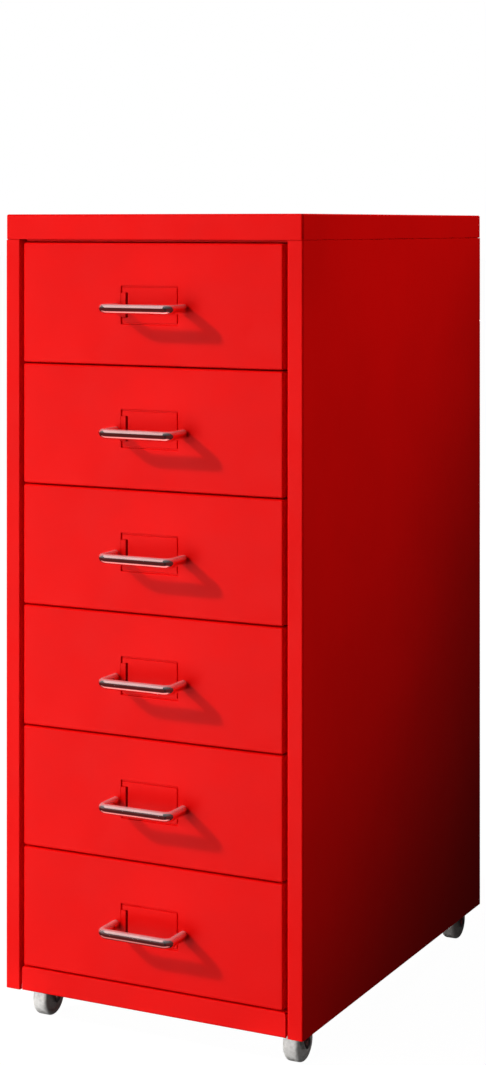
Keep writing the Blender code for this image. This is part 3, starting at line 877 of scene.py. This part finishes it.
def screw_pattern():
    """The two pan-head screws that hold a handle, seen inside the drawer, at drawer 1."""
    low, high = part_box("drawer_handle_1")
    level = (low.z + high.z) / 2
    seat = FRONT_Y + SHEET
    radius = 0.0036
    rim = 0.0006
    dome = 0.0015
    profile = [(radius, seat), (radius, seat + rim)]
    profile += [
        (radius * math.cos(a), seat + rim + dome * math.sin(a))
        for a in (math.radians(step) for step in (20, 40, 60, 75, 85))
    ]
    screws = []
    for side in (-1, 1):
        screw = turned("screw", profile, "Y", steps=28)
        for wide, tall in ((0.0019, 0.0004), (0.0004, 0.0019)):
            cross = block((-wide, seat + 0.0010, -tall), (wide, seat + 0.004, tall))
            combine(screw, cross, "DIFFERENCE")
        screw.location = (side * HANDLE_HALF, 0, level)
        screws.append(screw)
    return joined("screw_pattern", screws)


def drawers(paint, chrome, steel):
    """Every drawer is a copy of the pieces of drawer 1, moved down to its own level."""
    first_low, first_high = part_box("drawer_front_1")
    first_level = (first_low.z + first_high.z) / 2
    front = front_pattern()
    tray = tray_pattern()
    back = back_pattern()
    handle = handle_pattern()
    screws = screw_pattern()
    for number in DRAWERS:
        low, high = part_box(f"drawer_front_{number}")
        level = (low.z + high.z) / 2
        down = (0, 0, level - first_level)
        pieces = (
            ("drawer_front", front, (0, 0, level), paint, "red_powder_coat"),
            ("drawer_tray", tray, down, paint, "red_powder_coat"),
            ("drawer_back", back, down, paint, "red_powder_coat"),
            ("drawer_handle", handle, down, chrome, "handle_chrome"),
        )
        for kind, pattern, place, finish, slot in pieces:
            node = f"{kind}_{number}"
            stand_for(copy_at(pattern, f"{node}_form", place), node, finish)
        piece = copy_at(screws, f"handle_screws_{number}", down)
        add_trim(piece, f"drawer_{number}", steel)
    for pattern in (front, tray, back, handle, screws):
        bpy.data.objects.remove(pattern)


# --------------------------------------------------------------------- castors


def fork_pattern(trail, axle_level, top):
    """A pressed fork about its swivel axis: a round crown and two legs down to the axle."""
    low = top - FORK_SHEET
    crown_half = 0.013
    crown = [(RIVET_BORE, low), (crown_half, low), (crown_half, top), (RIVET_BORE, top)]
    made = turned("fork_pattern", crown, "Z", steps=48, bored=True)
    level = low + 0.0008
    eye_radius = 0.0052
    eye = arc((trail, axle_level), eye_radius, 0, 345, 23)
    points = [(-0.0085, level), (0.0090, level)] + eye
    outline = [points[index] for index in convex_hull_2d(points)]
    leg_inner, leg_outer = 0.0076, 0.0090
    for side in (-1, 1):
        ends = sorted((side * leg_inner, side * leg_outer))
        combine(made, extruded("leg", outline, "X", *ends), "UNION")
    hole = turned("hole", [(AXLE_BORE, -0.02), (AXLE_BORE, 0.02)], "X", steps=24)
    hole.location = (0, trail, axle_level)
    combine(made, hole, "DIFFERENCE")
    return soften(made, width=0.00035, angle=40)


def wheel_pattern(radius):
    """A moulded wheel about its own axis: hub, dished web, and a tread with round shoulders."""
    hub, web, rim = 0.0071, 0.0050, 0.0068
    round_in, round_across = 0.0026, 0.0030
    shoulder = [
        (
            radius - round_in + round_in * math.cos(a),
            rim - round_across + round_across * math.sin(a),
        )
        for a in (math.radians(step) for step in (90, 75, 60, 45, 30, 15, 0))
    ]
    half = [
        (AXLE_BORE, hub),
        (0.0046, hub),
        (0.0049, hub - 0.0003),
        (0.0051, web + 0.0004),
        (0.0055, web),
        (0.0110, web),
        (0.0114, web + 0.0003),
        (0.0118, rim - 0.0003),
        (0.0122, rim),
    ]
    half += shoulder
    profile = half + [(r, -height) for r, height in reversed(half)]
    return turned("wheel_pattern", profile, "X", steps=64, bored=True)


def mount_pattern(under, over, crown_low, crown_high):
    """The raceway and plate about the swivel axis, with the rivet's two heads."""
    shank = 0.0040
    plate = 0.0145
    profile = [
        (0.0030, crown_low - 0.0014),
        (0.0046, crown_low - 0.0011),
        (0.0052, crown_low - 0.0004),
        (0.0052, crown_low),
        (shank, crown_low),
        (shank, crown_high),
        (0.0120, crown_high),
        (0.0125, crown_high + 0.0004),
        (0.0127, crown_high + 0.0022),
        (0.0133, crown_high + 0.0028),
        (0.0143, crown_high + 0.0030),
        (plate, crown_high + 0.0034),
        (plate, under),
        (shank, under),
        (shank, over),
        (0.0062, over),
        (0.0061, over + 0.0005),
        (0.0054, over + 0.0012),
        (0.0040, over + 0.0016),
    ]
    return turned("mount_pattern", profile, "Z", steps=48)


def axle_pattern():
    """The axle rivet, from head to head, about the wheel's axis."""
    seat = 0.0093
    half = [
        (0.0014, seat + 0.0012),
        (0.0026, seat + 0.0010),
        (0.0032, seat + 0.0006),
        (0.0034, seat + 0.0002),
        (0.0034, seat),
        (0.0020, seat),
    ]
    profile = half + [(radius, -height) for radius, height in reversed(half)]
    return turned("axle_pattern", profile, "X", steps=28)


def castors(zinc, plastic):
    """Four castors from one pattern, each at its own swivel axis."""
    wheel_low, wheel_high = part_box("castor_wheel_front_left")
    fork_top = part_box("castor_fork_front_left")[1].z
    mount_low, mount_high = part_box("castor_mount_front_left")
    pan_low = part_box("base_pan")[0].z
    swivel_y = (mount_low.y + mount_high.y) / 2
    trail = (wheel_low.y + wheel_high.y) / 2 - swivel_y
    radius = (wheel_high.z - wheel_low.z) / 2
    axle_level = (wheel_high.z + wheel_low.z) / 2
    fork = fork_pattern(trail, axle_level, fork_top)
    wheel = wheel_pattern(radius)
    mount = mount_pattern(
        pan_low - FIT, pan_low + SHEET + FIT, fork_top - FORK_SHEET - FIT, fork_top + FIT
    )
    axle = axle_pattern()
    for corner in CORNERS:
        mount_low, mount_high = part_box(f"castor_mount_{corner}")
        swivel = Vector(
            ((mount_low.x + mount_high.x) / 2, (mount_low.y + mount_high.y) / 2, 0)
        )
        hub = swivel + Vector((0, trail, axle_level))
        pieces = (
            ("castor_mount", mount, swivel, zinc, "castor_zinc"),
            ("castor_fork", fork, swivel, zinc, "castor_zinc"),
            ("castor_axle", axle, hub, zinc, "castor_zinc"),
            ("castor_wheel", wheel, hub, plastic, "castor_wheel"),
        )
        for kind, pattern, place, finish, slot in pieces:
            node = f"{kind}_{corner}"
            stand_for(copy_at(pattern, f"{node}_form", place), node, finish)
    for pattern in (fork, wheel, mount, axle):
        bpy.data.objects.remove(pattern)


# ----------------------------------------------------------------------- stage


def camera():
    """A level camera, with the lens shifted down."""
    data = bpy.data.cameras.new("camera")
    data.lens = LENS
    data.sensor_width = SENSOR
    data.shift_y = SHIFT_Y
    made = bpy.data.objects.new("camera", data)
    made.location = CAMERA_PLACE
    made.rotation_euler = (math.pi / 2, 0, math.radians(CAMERA_YAW))
    bpy.context.scene.collection.objects.link(made)
    bpy.context.scene.camera = made


def light_at(name, data, place, target):
    """Puts a light at a place and turns it to a target."""
    made = bpy.data.objects.new(name, data)
    made.location = place
    aim = Vector(target) - Vector(place)
    made.rotation_euler = aim.to_track_quat("-Z", "Y").to_euler()
    bpy.context.scene.collection.objects.link(made)
    return made


def area_light(name, place, target, size, power, color=WHITE[:3]):
    """A rectangular card of light that the camera doesn't see."""
    data = bpy.data.lights.new(name, "AREA")
    data.shape = "RECTANGLE"
    data.size, data.size_y = size
    data.energy = power
    data.color = color
    made = light_at(name, data, place, target)
    made.visible_camera = False
    return made


def floor():
    """A wide pale floor that glows enough to stay nearly white, with a soft contact shadow."""
    builder = bmesh.new()
    bmesh.ops.create_grid(builder, x_segments=1, y_segments=1, size=40)
    made = new_object("floor", builder)
    made.visible_diffuse = False
    made.visible_glossy = False
    pale = bpy.data.materials.new("pale_floor")
    pale.use_nodes = True
    shader = pale.node_tree.nodes["Principled BSDF"]
    shader.inputs["Base Color"].default_value = (0.06, 0.06, 0.06, 1)
    shader.inputs["Roughness"].default_value = 1.0
    shader.inputs["Specular IOR Level"].default_value = 0.0
    shader.inputs["Emission Color"].default_value = WHITE
    shader.inputs["Emission Strength"].default_value = 0.985
    made.data.materials.append(pale)


def world():
    """White behind the object, and a dim grey sky that lights it and barely shines in it."""
    made = bpy.data.worlds.new("studio")
    bpy.context.scene.world = made
    made.use_nodes = True
    tree = made.node_tree
    sky = tree.nodes["Background"]
    dusk = tree.nodes.new("ShaderNodeBackground")
    backdrop = tree.nodes.new("ShaderNodeBackground")
    for background, strength in ((sky, 0.035), (dusk, 0.010), (backdrop, 1.0)):
        background.inputs["Color"].default_value = WHITE
        background.inputs["Strength"].default_value = strength
    path = tree.nodes.new("ShaderNodeLightPath")
    shine = tree.nodes.new("ShaderNodeMixShader")
    tree.links.new(path.outputs["Is Glossy Ray"], shine.inputs["Fac"])
    tree.links.new(sky.outputs["Background"], shine.inputs[1])
    tree.links.new(dusk.outputs["Background"], shine.inputs[2])
    mix = tree.nodes.new("ShaderNodeMixShader")
    tree.links.new(path.outputs["Is Camera Ray"], mix.inputs["Fac"])
    tree.links.new(shine.outputs["Shader"], mix.inputs[1])
    tree.links.new(backdrop.outputs["Background"], mix.inputs[2])
    tree.links.new(mix.outputs["Shader"], tree.nodes["World Output"].inputs["Surface"])


def spot_light(name, place, target, angle, blend, radius, power):
    """A round lamp whose light fades out towards the edge of its cone."""
    data = bpy.data.lights.new(name, "SPOT")
    data.spot_size = angle
    data.spot_blend = blend
    data.shadow_soft_size = radius
    data.energy = power
    return light_at(name, data, place, target)


def soft_lights():
    """Lights that brighten the paint and don't show in its shine.

    A far key over the left shoulder, a wide softbox, two lamps that graze the right side and
    leave its rear foot dark, and a small fill for the back.
    """
    front = Vector((0, FRONT_Y, 0.36))
    softbox_way = Vector((-0.44, -0.89, -0.10)).normalized()
    soft = (
        spot_light(
            "side_lamp",
            (0.80, 1.50, 1.99),
            (HALF_WIDTH, -0.24, 0.83),
            angle=0.616,
            blend=0.90,
            radius=0.08,
            power=172,
        ),
        spot_light(
            "side_fill",
            (2.31, -0.10, 0.80),
            (HALF_WIDTH, -0.29, 0.72),
            angle=0.752,
            blend=0.63,
            radius=0.08,
            power=31,
        ),
        area_light("key", front + Vector((-6.0, -4.5, 4.39)), front, (0.45, 0.45), 500),
        area_light("softbox", front + softbox_way * 2.0, front, (1.4, 1.8), 37.5),
        area_light("back_fill", (0, 3.2, 0.45), (0, BACK_Y, 0.34), (0.20, 0.20), 46),
    )
    for light in soft:
        light.visible_glossy = False


def shine_cards():
    """Tinted cards that only shine in the chrome, the zinc and the folds of the paint."""
    cards = []
    for name, place in (
        ("front", (-1.5, -3.2, -1.0)),
        ("left", (-3.5, 1.2, 0)),
        ("right", (3.6, -2.0, 0)),
    ):
        aim = Vector((0, FRONT_Y, place[2]))
        cards.append(area_light(f"dusk_card_{name}", place, aim, (6.0, 6.0), 10, DEEP_RED))
    for number in DRAWERS:
        handle_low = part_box(f"drawer_handle_{number}")[0]
        place = Vector((-0.05, handle_low.y - 0.035, handle_low.z - 0.09))
        up = place + Vector((0, 0, 1))
        cards.append(area_light(f"low_card_{number}", place, up, (0.30, 0.07), 0.056, ROSE))
    for card in cards:
        card.visible_diffuse = False


def castor_lamps():
    """Narrow lamps that pick out the front castors under the dark foot of the cabinet."""
    for corner in ("front_left", "front_right"):
        wheel_low, wheel_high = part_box(f"castor_wheel_{corner}")
        middle = (wheel_low + wheel_high) / 2
        for name, way, power in (
            ("front", (-0.35, -1.3, 0.12), 20),
            ("side", (1.3, -0.5, 0.1), 2.4),
        ):
            place = middle + Vector(way)
            spot_light(
                f"lamp_{name}_{corner}",
                place,
                middle,
                angle=0.034,
                blend=0.5,
                radius=0.02,
                power=power,
            )


def lights():
    """All the lights: soft ones, a pink one overhead, cards and castor lamps."""
    soft_lights()
    above = Vector((-1.0, -1.2, 2.1))
    area_light("overhead", above, (above.x, above.y, 0.0), (1.4, 2.6), 10, PINK)
    shine_cards()
    castor_lamps()


def main():
    bpy.context.scene.view_settings.view_transform = "Standard"
    paint = powder_coat("red_powder_coat", 0.42)
    inner_paint = powder_coat("red_powder_coat_inner", 0.48)
    chrome = chrome_plate()
    zinc = zinc_plate()
    plastic = wheel_plastic()
    steel = screw_steel()
    side_panel("side_panel_left", -1, paint)
    side_panel("side_panel_right", 1, paint)
    top_cap(paint)
    top_rail(inner_paint)
    back_panel(paint)
    base_pan(inner_paint)
    plinth_rail(paint)
    for name, side in (("left", -1), ("right", 1)):
        for number in DRAWERS:
            runner(f"runner_{name}_{number}", side, inner_paint)
    drawers(paint, chrome, steel)
    castors(zinc, plastic)
    camera()
    floor()
    world()
    lights()


main()
